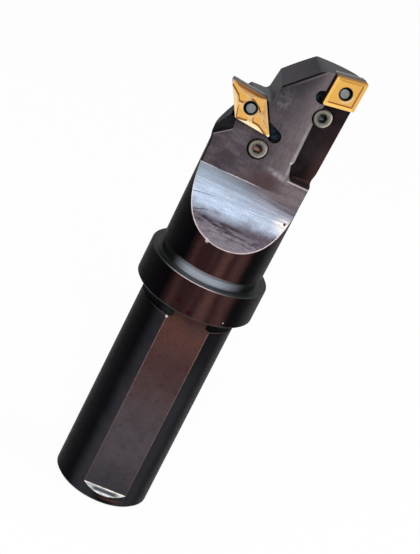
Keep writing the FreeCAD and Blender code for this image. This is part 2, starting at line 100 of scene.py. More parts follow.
class BarSizes(bpy.types.PropertyGroup):
    """Where the faces of the bar lie, for the finishes that differ from face to face."""
    shank_radius: length("Shank radius", "Radius of the plain shank", 0.020)
    flat_level: length("Flat level", "Distance of the clamping flat from the bar's axis", 0.0178)
    flat_start: length("Flat start", "Height at which the clamping flat starts", 0.0062)
    relief_low: length("Relief low edge", "Lower edge of the relief below the collar", 0.0888)
    collar_low: length("Collar low face", "Height of the collar's lower face", 0.0945)
    collar_top: length("Collar top face", "Height of the collar's upper face", 0.1093)
    collar_radius: length("Collar radius", "Radius of the collar", 0.025)
    neck_start: length("Neck start", "Height at which the neck leaves its relief", 0.1133)
    neck_radius: length("Neck radius", "Radius of the neck at its lower end", 0.0214)
    head_start: length("Head start", "Height at which the head starts", 0.158)
    head_start_radius: length("Head start radius", "Radius at the head's lower end", 0.0219)
    head_step: length("Head step", "Height of the step to the head's own cone", 0.161)
    head_step_radius: length("Head step radius", "Radius above the step", 0.0225)
    head_end: length("Head end", "Height at which the head's cone would end", 0.2069)
    head_end_radius: length("Head end radius", "Radius at the head's upper end", 0.0239)
    rake_angle: angle("Rake angle", "Slope of the rake faces both ways", 6)
    face_drop: length("Face drop", "Depth of the main face below the left rake face", 0.0024)
    left_recess_depth: length("Left recess depth", "Depth of the left recess below the main face", 0.0013)
    recess_corner_side: length("Left recess corner side", "Side of the left recess's lower corner", -0.01586)
    recess_corner_height: length("Left recess corner height", "Height of that corner", 0.1657)
    gash_line: length("Gash line", "Height at which the main face turns into the gash", 0.1486)
    gash_radius: length("Gash radius", "Radius of the gash below the main face", 0.0464)
    gash_kink: angle("Gash kink", "Turn between the main face and the gash", 12.7)
    recess_side: length("Right recess side", "Where the right recess's floor crosses its own level", 0.018)
    recess_level: length("Right recess level", "Level of the right recess's floor there", 0.0004)
    recess_slope: angle("Right recess slope", "Turn of the right recess's floor about the bar's axis", 13)
    recess_border: length("Right recess border", "Left border of the right recess", 0.0115)
    recess_foot: length("Right recess foot", "Lower end of the right recess", 0.1563)
    recess_step: length("Right recess step", "Height of the step in the right recess's border", 0.1625)
    roof_side: length("Roof corner side", "Side of the lower end of the roof's slanting facet", -0.0055)
    roof_height: length("Roof corner height", "Height of the lower end of the roof's slanting facet", 0.1895)
    roof_angle: angle("Roof angle", "Rise of the roof's slanting facet", 45)
    roof_relief: angle("Roof relief", "Fall of the slanting facet to the back", 2)
    crown_height: length("End facet height", "Height of the end facet on the bar's axis", 0.2017)
    crown_angle: angle("End facet angle", "Rise of the end facet", 5)
    crown_relief: angle("End facet relief", "Fall of the end facet to the back", 7.8)


class SeatSizes(bpy.types.PropertyGroup):
    """The two insert seats."""
    circle: length("Inscribed circle", "Circle that each insert's edges touch", 0.0127)
    thickness: length("Insert thickness", "Thickness of the inserts", 0.00476)
    left_centre: place("Left centre", "Centre of the left insert's hole on its rake face",
                       (-0.0133077, -0.0019798, 0.1769559))
    left_turn: angle("Left diagonal", "Turn of the left insert's long diagonal", -33.6)
    left_nose: angle("Left nose angle", "Angle of the left insert's cutting corner", 55)
    left_slope: length("Left slope", "Inset at which the left insert's dish is flat", 0.0013)
    island_drop: length("Island drop", "Drop of the islands below the left insert's rim", 0.00002)
    right_centre: place("Right centre", "Centre of the right insert's hole on its rake face",
                        (0.0177748, -0.0014523, 0.1973073))
    right_turn: angle("Right diagonal", "Turn of the right insert's long diagonal", 226)
    right_nose: angle("Right nose angle", "Angle of the right insert's cutting corner", 80)
    right_groove: length("Right groove", "Inset of the groove in the right insert", 0.00145)
    right_middle: length("Right middle", "Inset of the right insert's flat middle", 0.00185)
    left_screw_reach: length("Left screw reach", "Distance of the left lever screw from the hole", 0.0171)
    left_screw_turn: angle("Left screw turn", "Direction of the left lever screw from the hole", -56.8)
    right_screw_reach: length("Right screw reach", "Distance of the right lever screw from the hole", 0.0135)
    right_screw_turn: angle("Right screw turn", "Direction of the right lever screw from the hole", 255.5)
    floor_depth: length("Floor depth", "Depth of the seats' floors below the rake faces", 0.00794)
    screw_drop: length("Screw drop", "Depth of the screws' tops below the rake faces", 0.00255)
    pin_offset: length("Pin offset", "Distance of a lever's pin from the middle of the hole", 0.00042)


class BarColours(bpy.types.PropertyGroup):
    """Colours of the bar's finishes."""
    oxide_black: colour("Black oxide", "Turned steel on the side away from the light", 2, 1, 3)
    oxide_blue: colour("Blue oxide", "Blackened shank where it turns blue", 7, 8, 12)
    # Painted light: the oxide's brown where the light falls on the front of the turned faces.
    oxide_brown: colour("Brown oxide", "Turned steel where it is brown", 44, 25, 27)
    # Painted highlights: light streaks on the lit front of the turned faces; also light marks on the flat
    # and in the right recess.
    oxide_light: colour("Light brown oxide", "Streaks on the brown side", 84, 57, 53)
    oxide_red: colour("Red spots", "Dark red spots on the collar", 46, 4, 12)
    # Painted rim light: grey on the right side of the turned faces.
    oxide_grey: colour("Rubbed oxide", "Greyed oxide towards the right side", 40, 36, 38)
    # Painted highlight and rim light on the shank beside the flat; the same grey also tints the flat and its
    # run-out.
    shank_grey: colour("Rubbed shank", "Shank beside the flat's lower half", 48, 47, 52)
    flat_grey: colour("Flat, low end", "Clamping flat near the shank's end", 56, 53, 58)
    flat_mid: colour("Flat, middle", "Clamping flat at half its length", 71, 64, 68)
    flat_brown: colour("Flat, high end", "Clamping flat near the collar", 80, 51, 45)
    # Pale edge lines: partly rubbed, partly painted highlights of the edges.
    line_pink: colour("Edge line", "Rubbed line along the flat's edges", 150, 118, 112)
    bright: colour("Bright steel", "Freshly ground steel", 206, 208, 210)
    ring_dark: colour("Relief steel", "Turned steel between the collar and the neck", 15, 17, 16)
    ring_grey: colour("Relief edge", "Edges of that steel", 70, 76, 75)
    # Painted highlight in the middle of the turned band above the collar.
    ring_light: colour("Relief highlight", "Polished middle of that steel", 182, 190, 202)
    face_cool: colour("Main face, cool", "Milled main face at its left and top", 60, 56, 63)
    face_grey: colour("Main face", "Milled main face of the head", 74, 67, 72)
    face_light: colour("Main face, rubbed", "Rubbed right side of the main face", 112, 102, 106)
    face_mauve: colour("Main face stain", "Brown stain above the gash", 66, 47, 50)
    # Light scuffs, and painted highlights along the recesses' edges.
    scuff: colour("Scuffs", "Light scuffs beside the right recess", 150, 146, 152)
    # Painted reflection of the light above, on the gash's bright steel.
    gash_steel: colour("Gash", "Bright steel of the gash", 166, 180, 201)
    gash_grey: colour("Gash, upper left", "Grey steel just below the main face", 112, 120, 128)
    gash_stain: colour("Gash stain", "Stained steel below the bright band", 64, 54, 63)
    gash_low: colour("Gash, low end", "Steel at the foot of the gash", 128, 122, 130)
    # Pale edge lines round the gash and on the borders, partly painted edge highlights.
    border_pale: colour("Gash border", "Pale line round the gash", 200, 184, 186)
    # Shaded and lit copies of the roof's milled steel: the slanting facet's tone is painted shade.
    roof_dark: colour("Slanting facet", "Milled slanting facet of the roof", 44, 42, 47)
    roof_light: colour("End facet", "Milled end facet and notch", 70, 69, 71)
    horn_grey: colour("Notch floor", "Milled floor of the notch", 86, 90, 92)
    # Painted shade: the right recess's floor, turned away from the light.
    recess_brown: colour("Right recess", "Floor of the right recess", 22, 16, 17)
    recess_dark: colour("Left recess", "Floor of the left recess", 24, 23, 27)
    # Near black used as painted shade in the pockets, bores, sockets, gaps and under the levers; in the gash
    # it marks dark scratches and blotches.
    pocket_black: colour("Pocket", "Walls and drillings of the seats", 13, 16, 19)
    pocket_blue: colour("Pocket floor", "Ground floor of the seats", 58, 72, 84)
    coating: colour("Coating", "Gold-coloured coating of the inserts", 210, 158, 74)
    coating_pale: colour("Pale coating", "Coating where it is rubbed pale", 214, 176, 122)
    coating_dull: colour("Dull coating", "Dish of the left insert away from the light", 176, 134, 84)
    coating_bright: colour("Bright coating", "Coating on edges towards the light", 220, 200, 162)
    coating_yellow: colour("Yellow coating", "Coating on the lands of the right insert", 232, 186, 96)
    # Also painted shade on the right insert's grooves, on their sides away from the light, and on the left
    # insert's upper edges.
    coating_brown: colour("Brown coating", "Coating in the grooves and beside the islands", 138, 88, 32)
    coating_dark: colour("Dark coating", "Coating on edges away from the light", 116, 72, 28)
    coating_side: colour("Insert side", "Coating on the ground sides of the inserts", 112, 66, 26)
    coating_deep: colour("Insert side, shaded", "Shaded parts of those sides", 46, 24, 12)
    coating_grey: colour("Insert side, greyed", "Sides that mirror the grey steel above them", 48, 47, 44)
    # Also a painted highlight on the screws' rims and along the run-out's upper edge.
    white_spot: colour("Bare corner", "Cutting corners rubbed bare", 238, 226, 214)
    screw_steel: colour("Screw", "Lever screws", 122, 117, 106)
    screw_shade: colour("Screw shade", "Hollows of the screws", 40, 35, 30)
    copper: colour("Socket bottom", "Copper grease in a socket", 206, 150, 132)
    pin_steel: colour("Lever pin", "Upright pins of the levers", 126, 132, 132)
    # Partly a painted highlight: the pins' rims are brighter on their upper side.
    pin_light: colour("Lever pin edge", "Rubbed edge of those pins", 150, 158, 162)
    shim: colour("Shim", "Ground shims below the inserts", 108, 106, 108)
    floor: colour("Floor", "Plain pale floor", 243.44523, 243.44523, 243.44523)


class InMillimetres:
    """The sizes of a group, with lengths in millimetres and angles as they are."""

    def __init__(self, group):
        for name in type(group).__annotations__:
            value = getattr(group, name)
            if not isinstance(value, float):
                value = Vector(value)
            if group.bl_rna.properties[name].unit == "LENGTH":
                value = value * MM_PER_METRE
            setattr(self, name, value)


class Value:
    """Result of a step in a finish. Arithmetic with it adds the steps that it needs."""

    def __init__(self, finish, socket):
        self.finish, self.socket = finish, socket

    def __add__(self, other):
        return self.finish.sum("ADD", self, other)

    def __radd__(self, other):
        return self.finish.sum("ADD", other, self)

    def __sub__(self, other):
        return self.finish.sum("SUBTRACT", self, other)

    def __rsub__(self, other):
        return self.finish.sum("SUBTRACT", other, self)

    def __mul__(self, other):
        return self.finish.sum("MULTIPLY", self, other)

    def __abs__(self):
        return self.finish.sum("ABSOLUTE", self)

    def slope(self, low, high, first=0.0, last=1.0):
        """Straight run from first at low to last at high, level beyond them."""
        node = self.finish.step("ShaderNodeMapRange")
        return self.finish.fill(node, (self, low, high, first, last))

    def rise(self, low, high):
        """Smooth step from 0 at low to 1 at high."""
        node = self.finish.step("ShaderNodeMapRange")
        node.interpolation_type = "SMOOTHSTEP"
        return self.finish.fill(node, (self, low, high))

    def fall(self, low, high):
        """Smooth step from 1 at low to 0 at high."""
        return 1 - self.rise(low, high)

    def between(self, low, high, soft=0.02):
        """1 where the value lies between the two, with soft ends."""
        return self.rise(low - soft, low + soft) * self.fall(high - soft, high + soft)

    def near(self, level, reach, soft=0.02):
        """1 where the value lies within reach of the level."""
        return abs(self - level).fall(max(reach - soft, 0), reach + soft)


class Finish:
    """A procedural finish, built step by step on the object's own coordinates in millimetres."""

    def __init__(self, name, specular=0.5):
        self.material = bpy.data.materials.new(name)
        self.material.use_nodes = True
        self.tree = self.material.node_tree
        self.tree.nodes.clear()
        output = self.tree.nodes.new("ShaderNodeOutputMaterial")
        self.shader = self.tree.nodes.new("ShaderNodeBsdfPrincipled")
        self.shader.inputs["Specular IOR Level"].default_value = specular
        self.tree.links.new(self.shader.outputs[0], output.inputs[0])
        source = self.tree.nodes.new("ShaderNodeTexCoord")
        scaled = self.step("ShaderNodeVectorMath", "SCALE")
        self.tree.links.new(source.outputs["Object"], scaled.inputs[0])
        scaled.inputs["Scale"].default_value = MM_PER_METRE
        self.place = Value(self, scaled.outputs[0])
        self.normal = Value(self, source.outputs["Normal"])
        axes = self.step("ShaderNodeSeparateXYZ")
        self.put(axes.inputs[0], self.place)
        self.x, self.y, self.z = (Value(self, socket) for socket in axes.outputs)
        self.base, self.rough, self.metal = (0, 0, 0), 0.5, 0.0

    def step(self, kind, operation=None):
        node = self.tree.nodes.new(kind)
        if operation:
            node.operation = operation
        return node

    def put(self, socket, value):
        """Link a step's result into a socket, or set a plain value on it."""
        if isinstance(value, Value):
            self.tree.links.new(value.socket, socket)
        elif socket.type == "RGBA" and len(value) == 3:
            socket.default_value = (*value, 1)
        else:
            socket.default_value = value

    def fill(self, node, values):
        """Put the values into a step's first sockets and give its first result."""
        for socket, value in zip(node.inputs, values):
            self.put(socket, value)
        return Value(self, node.outputs[0])

    def sum(self, operation, first, second=0.0):
        """Result of one arithmetic step."""
        return self.fill(self.step("ShaderNodeMath", operation), (first, second))

    def most(self, *values):
        return functools.reduce(functools.partial(self.sum, "MAXIMUM"), values)

    def least(self, *values):
        return functools.reduce(functools.partial(self.sum, "MINIMUM"), values)

    def along(self, direction, vector=None):
        """Part of a vector along a direction; without a vector, of the point, in millimetres."""
        node = self.step("ShaderNodeVectorMath", "DOT_PRODUCT")
        self.put(node.inputs[0], vector or self.place)
        node.inputs[1].default_value = direction
        return Value(self, node.outputs["Value"])

    def off_plane(self, point, normal):
        """Distance of the point from a plane, in millimetres."""
        return self.along(normal) - Vector(point).dot(normal)

    def distance(self, first, second):
        """Length of the pair of values."""
        return self.sum("SQRT", first * first + second * second)

    def stretched(self, *scales):
        """A vector of values, each with a scale of its own."""
        return self.fill(self.step("ShaderNodeCombineXYZ"), [value * scale for value, scale in scales])

    def noise(self, vector, scale, detail=2.0, roughness=0.5, low=0.35, high=0.65):
        """Noise, spread out to cover 0 to 1."""
        node = self.step("ShaderNodeTexNoise")
        self.put(node.inputs["Vector"], vector)
        node.inputs["Scale"].default_value = scale
        node.inputs["Detail"].default_value = detail
        node.inputs["Roughness"].default_value = roughness
        return Value(self, node.outputs[0]).rise(low, high)

    def mix(self, kind, sockets, values):
        """Mix two values by a factor; the sockets are those of the mix node for this kind of data."""
        node = self.step("ShaderNodeMix")
        node.data_type = kind
        for index, value in zip(sockets, values):
            self.put(node.inputs[index], value)
        return node.outputs

    def blend(self, factor, first, second):
        """Colour that goes from first to second as the factor goes from 0 to 1."""
        return Value(self, self.mix("RGBA", (0, 6, 7), (factor, first, second))[2])

    def layers(self, base, *pairs):
        """Colour that starts as the base and goes to the colour of each pair in turn where its mask is 1."""
        for mask, colour in pairs:
            base = self.blend(mask, base, colour)
        return base

    def level(self, factor, first, second):
        """Number that goes from first to second as the factor goes from 0 to 1."""
        return Value(self, self.mix("FLOAT", (0, 2, 3), (factor, first, second))[0])

    def cover(self, mask, base=None, rough=None, metal=None):
        """Lay a finish over what is there already, where the mask is 1."""
        if base is not None:
            self.base = self.blend(mask, self.base, base)
        if rough is not None:
            self.rough = self.level(mask, self.rough, rough)
        if metal is not None:
            self.metal = self.level(mask, self.metal, metal)

    def finish(self, height, depth):
        """Link what was laid to the shader, with a bump from a height of 0 to 1 and its depth in metres."""
        for name, value in (("Base Color", self.base), ("Roughness", self.rough), ("Metallic", self.metal)):
            self.put(self.shader.inputs[name], value)
        bump = self.step("ShaderNodeBump")
        bump.inputs["Distance"].default_value = depth
        self.put(bump.inputs["Height"], height)
        self.put(self.shader.inputs["Normal"], Value(self, bump.outputs[0]))
        return self.material


def seat_axes(rake, lean):
    """Directions right, up and out of a rake face."""
    out = Vector((lean * math.tan(rake), -1, math.tan(rake))).normalized()
    right = (Vector((1, 0, 0)) - out * out.x).normalized()
    return right, out.cross(right), out


def facet_normal(rise, relief):
    """Upward normal of a facet that rises towards +X and falls towards the back."""
    return Vector((-math.cos(relief) * math.sin(rise), math.sin(relief), math.cos(relief) * math.cos(rise)))


class Bar:
    """Finish of the bar's body, with what each face lays on in a step of its own."""

    def __init__(self, sizes, seats, colours):
        self.sizes, self.seats, self.colours = sizes, seats, colours
        f = self.f = Finish("blackened_steel", STEEL_SPECULAR)
        self.right, self.up, self.out = seat_axes(sizes.rake_angle, -1)
        centre = seats.left_centre
        self.radius = f.distance(f.x, f.y)
        self.around = f.sum("DEGREES", f.sum("ARCTAN2", f.x, f.y * -1.0))
        self.depth = f.along(self.out) - centre.dot(self.out)
        self.height = f.along(self.up) - centre.dot(self.up)
        self.across = f.along(self.right)
        self.skin = self.turned_radius() - self.radius
        self.line = Vector((0, 0, sizes.gash_line)).dot(self.up) - centre.dot(self.up)
        self.level = -sizes.face_drop
        self.smudge = f.noise(f.place, 0.11, detail=4, roughness=0.6)
        self.mottle = f.noise(f.place, 0.55, detail=5, roughness=0.7)
        self.grit = f.noise(f.place, 3.2, detail=3, roughness=0.7)
        self.head = f.z.rise(sizes.neck_start + 0.3, sizes.neck_start + 0.6)
        self.off_shank = self.radius - sizes.shank_radius
        self.off_collar = self.radius - sizes.collar_radius
        self.off_neck = self.radius - sizes.neck_radius
        self.rim = self.off_collar.rise(-0.5, -0.1)
        self.front = f.y.fall(0.3 - sizes.flat_level, 0.4 - sizes.flat_level)
        self.flat = f.y.near(-sizes.flat_level, ON_PLANE)

    def turned_radius(self):
        """Radius of the turned neck and head at the point's height."""
        f, s = self.f, self.sizes
        neck = f.z.slope(s.neck_start, s.head_start, s.neck_radius, s.head_start_radius)
        step = f.z.slope(s.head_start, s.head_step, 0.0, s.head_step_radius - s.head_start_radius)
        cone = f.z.slope(s.head_step, s.head_end, 0.0, s.head_end_radius - s.head_step_radius)
        return neck + step + cone

    def tool_marks(self, along, down, scale, **settings):
        """Noise drawn out along the head's milled faces, by its fineness across the bar and down it."""
        f = self.f
        return f.noise(f.stretched((self.across, along), (self.height, down), (self.depth, 1.0)), scale,
                       **settings)

    def spot(self, around, height):
        """Distance from a spot on the collar, given by its angle round the bar and its height."""
        f, turn, reach = self.f, math.radians(around), self.sizes.collar_radius
        aside = f.x - reach * math.sin(turn)
        forward = f.y + reach * math.cos(turn)
        return f.distance(f.distance(aside, forward), f.z - height)

    def turned_faces(self):
        """Painted light and shade round the bar: near black as painted shade at the left, brown where the
        light falls on the front with painted highlight streaks, dark again at the right under a painted grey
        rim light.
        """
        f, s, c = self.f, self.sizes, self.colours
        angle = self.around + (self.smudge - 0.5) * 1.5
        fine = f.noise(f.stretched((self.around, 0.16), (f.z, 0.03), (f.z, 0.0)), 1.0, detail=3,
                       roughness=0.6)
        # Painted light and shade: brown where the light falls on the front, near black as shade round the
        # left.
        brown = angle.between(-35, 28, 6.0)
        f.base = f.blend(brown, c.oxide_black, c.oxide_brown)
        # Painted highlights: upright light streaks on the lit front of the turned steel.
        light = f.most(angle.near(-28, 2, 4) * 0.4, angle.near(3, 2, 8), angle.near(20, 3, 7) * 0.55,
                       angle.near(-9, 1, 4) * 0.3)
        f.cover(light * f.level(fine, 0.7, 1.0) * f.level(self.mottle, 0.7, 1.0), c.oxide_light)
        f.cover(brown * fine * 0.25, c.oxide_black)
        # Painted rim light: grey towards the right side.
        f.cover(angle.rise(40, 62) * 0.9, c.oxide_grey)
        f.rough = f.level(self.mottle, 0.36, 0.5)
        spots = f.most(*(self.spot(*place).fall(0.5, 1.5) for place in RED_SPOTS))
        f.cover(spots * self.rim * 0.8, c.oxide_red)
        f.cover(self.spot(*BRIGHT_SPOT).fall(0.1, 0.35) * self.rim, c.bright)

        shank = f.z.fall(s.collar_low - 0.3, s.collar_low + 0.1)
        f.cover(shank, f.blend(f.z.rise(50, 88), c.oxide_blue, c.oxide_black))
        # Painted highlight: a soft grey strip on the shank beside the flat's left edge.
        beside = angle.rise(-50, -29) * angle.fall(-20, 0) * f.level(f.z.fall(40, 70), 0.75, 1.0)
        f.cover(shank * beside * f.level(self.smudge, 0.8, 1.0), c.shank_grey)
        right = angle.rise(10, 20) * angle.fall(34, 52) * f.level(f.z.fall(50, 85), 0.15, 0.6)
        f.cover(shank * right, c.shank_grey)
        # Painted rim light: grey at the shank's right side.
        f.cover(shank * angle.rise(46, 60) * 0.45, c.shank_grey)
        f.cover(self.grit * 0.15, c.oxide_black)

    def clamping_flat(self):
        """The flat, the rubbed lines along its edges, which are partly painted edge highlights, a painted
        shadow below the collar, and the bright run-out at its lower end with a painted highlight along its
        upper edge.
        """
        f, s, c = self.f, self.sizes, self.colours
        flat = self.flat * f.z.fall(s.collar_low - 0.2, s.collar_low)
        stains = f.noise(f.place, 0.35, detail=4, low=0.5, high=0.75)
        specks = f.noise(f.place, 1.7, detail=4, roughness=0.8, low=0.52, high=0.72)
        dark_patches = f.noise(f.place, 0.9, detail=5, roughness=0.75, low=0.5, high=0.66)
        tone = f.layers(
            c.flat_grey,
            (f.z.rise(6, 26), c.flat_mid),
            ((f.z + self.smudge * 14.0).rise(38, 92), c.flat_brown),
            (f.z.near(67, 5, 12) * 0.35, c.oxide_brown),
            (self.smudge * 0.3, c.shank_grey),
            (stains * 0.3, c.oxide_brown),
            (specks * f.z.rise(55, 80) * 0.12, c.line_pink),
            (dark_patches * f.z.rise(40, 75) * 0.4, c.oxide_brown))
        f.cover(flat, tone, f.level(self.smudge, 0.42, 0.58))
        half = math.sqrt(s.shank_radius ** 2 - s.flat_level ** 2)
        # Pale lines along the flat's edges: partly rubbed, partly a painted highlight of the edges, brighter
        # towards the collar.
        edge = (abs(f.x).near(half, 0.1, 0.08) * self.front * f.z.between(s.flat_start, s.relief_low, 0.1)
                * f.level(self.mottle, 0.35, 0.85) * f.z.slope(25, 85, 0.45, 1.0))
        f.cover(edge, c.line_pink)
        corner = f.distance(f.x + half, f.z - (s.relief_low - 0.3)).fall(0.15, 0.75) * f.y.fall(-17.3, -17.2)
        f.cover(corner * 0.8, c.white_spot)
        ramp = (f.z - f.y).near(s.flat_start + s.flat_level, ON_PLANE) * f.z.between(3.9, 6.3)
        streaks = f.noise(f.stretched((f.x, 0.25), (f.y, 2.2), (f.z, 2.2)), 1.0, detail=3, low=0.4, high=0.6)
        # Darker middle of the run-out, with streaks.
        dark_patches = f.x.near(0.4, 6.0, 2.0) * f.z.near(5.3, 0.6, 0.3)
        dark_patches = f.most(dark_patches * 0.95, streaks * 0.6)
        f.cover(ramp, f.blend(dark_patches, c.bright, c.shank_grey), 0.35, 0.3)
        # Painted shadow: a dark band on the flat just below the collar, where the collar shades it.
        f.cover(self.flat * f.z.between(s.collar_low - 1.1, s.collar_low + 0.1, 0.25) * 0.85, c.ring_dark)
        # Painted highlight along the upper edge of the run-out.
        top = (f.z.near(s.flat_start, 0.16, 0.08) * abs(f.x).fall(half - 0.4, half)
               * self.front * f.level(streaks, 1.0, 0.5))
        f.cover(top, c.white_spot)
        below = f.x.near(3.5, 4.0, 3.0) * f.z.between(2.2, 3.6, 0.5) * f.y.fall(-14, -10) * 0.5
        f.cover(below, c.oxide_light)

    def collar(self):
        """Relief below the collar with a painted grey sheen, its rubbed edges with pale lines that are
        partly painted edge highlights, and the turned band above it with a painted highlight in its middle.
        """
        f, s, c = self.f, self.sizes, self.colours
        low_relief = f.z.between(s.relief_low, s.collar_low) * self.off_shank.fall(-0.15, -0.05)
        # Painted sheen: a lighter grey strip on the relief below the collar.
        grey_sheen = self.around.between(-36, -22, 8.0) * f.level(self.mottle, 0.15, 0.4)
        f.cover(low_relief, f.blend(grey_sheen, c.oxide_blue, c.ring_grey))
        # Pale lines on the collar's edges: partly rubbed, partly painted edge highlights that fade away from
        # the front.
        lip = (f.z.near(s.relief_low, 0.1, 0.08) * self.off_shank.rise(-0.4, -0.2)
               * self.around.between(-50, 50, 12.0) * 0.3)
        f.cover(lip, c.line_pink)
        chamfer = f.z.between(s.collar_low, s.collar_low + 0.75, 0.1) * self.off_collar.rise(-0.8, -0.7)
        f.cover(chamfer * self.around.fall(20, 60) * 0.55, c.ring_grey)
        upper = f.z.near(s.collar_top - 0.05, 0.2, 0.1) * self.off_collar.rise(-0.6, -0.4)
        front = self.around.between(-40, 10, 16.0)
        f.cover(upper * f.level(front, 0.45, 0.9), f.blend(front, c.ring_grey, c.border_pale))

        band = f.z.between(s.collar_top - 0.03, s.neck_start + 0.02) * self.off_collar.fall(-0.4, -0.3)
        rings = f.noise(f.stretched((self.radius, 1.6), (f.z, 1.6), (self.around, 0.006)), 2.0, detail=4,
                        low=0.35, high=0.65)
        # Painted highlight: the turned band is brightest in its middle, towards the light, strongest on the
        # neck's relief wall.
        glow = self.around.rise(-54, -24) * self.around.fall(0, 46)
        wall = self.off_neck.fall(-0.9, -0.5)
        highlight_strength = f.level(rings, 0.6, 1.0) * f.level(f.z.rise(111.2, 112.8), 1.0, 0.45)
        share = f.level(wall, f.level(rings, 0.02, 0.13), highlight_strength)
        tone = f.blend(rings * f.level(wall, 0.4, 0.12), c.ring_dark, c.ring_grey)
        f.cover(band, f.blend(glow * share, tone, c.ring_light), 0.4, 0.35)
        # Painted highlight along the neck's lower edge at the front.
        edge = (f.z.between(s.neck_start, s.neck_start + 0.42, 0.08) * self.off_neck.rise(-0.9, -0.7)
                * self.around.between(-36, 16, 12.0) * 0.6)
        f.cover(edge, c.border_pale)

    def main_face(self):
        """Milled face with rubbed streaks, a brown stain above the gash and pale lines at its borders, most
        of them painted edge highlights.
        """
        f, s, c = self.f, self.sizes, self.colours
        above_gash = self.height.rise(self.line, self.line + 0.04)
        face = self.depth.near(self.level, ON_PLANE) * self.head * above_gash
        streaks = self.tool_marks(0.5, 1.0, 0.2, detail=6, roughness=0.7, low=0.38, high=0.7)
        lines = self.tool_marks(2.6, 0.3, 1.0, detail=3)
        bands = self.tool_marks(0.3, 1.3, 0.3, detail=5, roughness=0.65, low=0.45, high=0.65)
        stain_off = f.distance(self.across - STAIN[0], (f.z - STAIN[1]) * 1.7)
        tone = f.layers(
            c.face_cool,
            (self.across.slope(-18, 0), c.face_grey),
            (self.across.slope(2, 14), c.face_light),
            (f.z.rise(170, 190) * self.across.fall(2, 12) * 0.7, c.face_cool),
            (streaks * f.z.fall(172, 186) * 0.5, c.face_light),
            (bands * f.z.fall(168, 184) * 0.35, c.face_mauve),
            (lines * 0.24, c.recess_dark),
            (stain_off.fall(2, 11) * f.level(self.smudge, 0.5, 0.9), c.face_mauve))
        f.cover(face, tone, f.level(streaks, 0.38, 0.52), 0.0)

        border = s.recess_border
        # Painted highlight along the right recess's left border, where its edge catches the light.
        band = f.x.near(border - 0.6, 0.5, 0.6) * f.z.rise(155.5, 160.0) * f.z.fall(168, 188)
        f.cover(face * band * f.level(streaks, 0.55, 0.95), c.scuff)
        # Light scuffs near the roof, partly painted sheen.
        near_roof = f.distance((f.x - (s.roof_side + 1.0)) * 0.8, f.z - (s.roof_height - 4.0))
        f.cover(face * near_roof.fall(1.0, 8.0) * self.mottle * 0.28, c.scuff)
        # Painted highlight: a pale line along the left recess's lower edge.
        corner = Vector((s.recess_corner_side, 0, s.recess_corner_height))
        line = f.off_plane(corner, Vector((0.618, 0, -0.786))).near(0.15, 0.15, 0.1)
        f.cover(face * line * f.x.fall(corner.x, corner.x + 0.3) * 0.7, c.scuff)
        foot = s.recess_foot
        feather_low = foot - 0.6 + (border - f.x) * 0.2
        feather = f.z.near(feather_low, 0.9, 0.9) * f.x.between(border - 7.0, border + 1.0, 4.0)
        f.cover(face * feather * f.level(self.mottle, 0.2, 0.9), c.scuff)
        # Painted highlight along the ledge at the foot of the right recess.
        sill = f.z.between(foot - 0.7, foot - 0.3, 0.15) * f.x.rise(border + 0.2, border + 1.2)
        f.cover(face * sill * 0.8, c.border_pale, 0.35, 0.2)
        notch = f.distance(f.x - (border - 0.9), f.z - (s.recess_step + 0.4)).fall(0.2, 0.8)
        f.cover(face * notch * 0.8, c.border_pale)

        rim = self.skin.fall(0.45, 0.62) * f.x.fall(-2, 2)
        f.cover(face * rim * 0.9, c.oxide_black)
        roof = f.off_plane((s.roof_side, 0, s.roof_height), facet_normal(s.roof_angle, s.roof_relief))
        f.cover(face * roof.rise(-8.0, -1.5) * f.x.fall(3, 11) * 0.65, c.roof_dark)
        # Painted highlight: a light line just below the roof's slanting facet.
        f.cover(face * roof.near(-1.2, 0.2, 0.3) * f.x.rise(-5, 4) * 0.45, c.face_light)
        f.cover(face * roof.rise(-0.65, -0.5), c.oxide_black)

    def gash(self):
        """Brushed steel with a painted reflection as a bright band, a stained lower third, scratches, and a
        pale border that is partly a painted edge highlight.
        """
        f, s, c = self.f, self.sizes, self.colours
        hollow = s.gash_radius
        off_up = self.height - (self.line + hollow * math.sin(s.gash_kink))
        off_out = self.depth - (self.level + hollow * math.cos(s.gash_kink))
        under_face = self.height.fall(self.line, self.line + 0.04)
        gash = f.distance(off_up, off_out).near(hollow, ON_ROUND) * under_face * self.head
        below = self.line - self.height
        side = self.across
        place = below + f.most(side, 0.0) * 0.08 + (self.smudge - 0.5) * 2.0
        streaks = self.tool_marks(0.08, 1.5, 0.9, detail=5, roughness=0.75)
        fine = self.tool_marks(0.12, 4.0, 1.6, detail=3)
        blotch = f.noise(f.stretched((side, 0.34), (self.height, 1.5), (self.depth, 1.2)), 0.55, detail=6,
                         roughness=0.75, low=0.4, high=0.68)
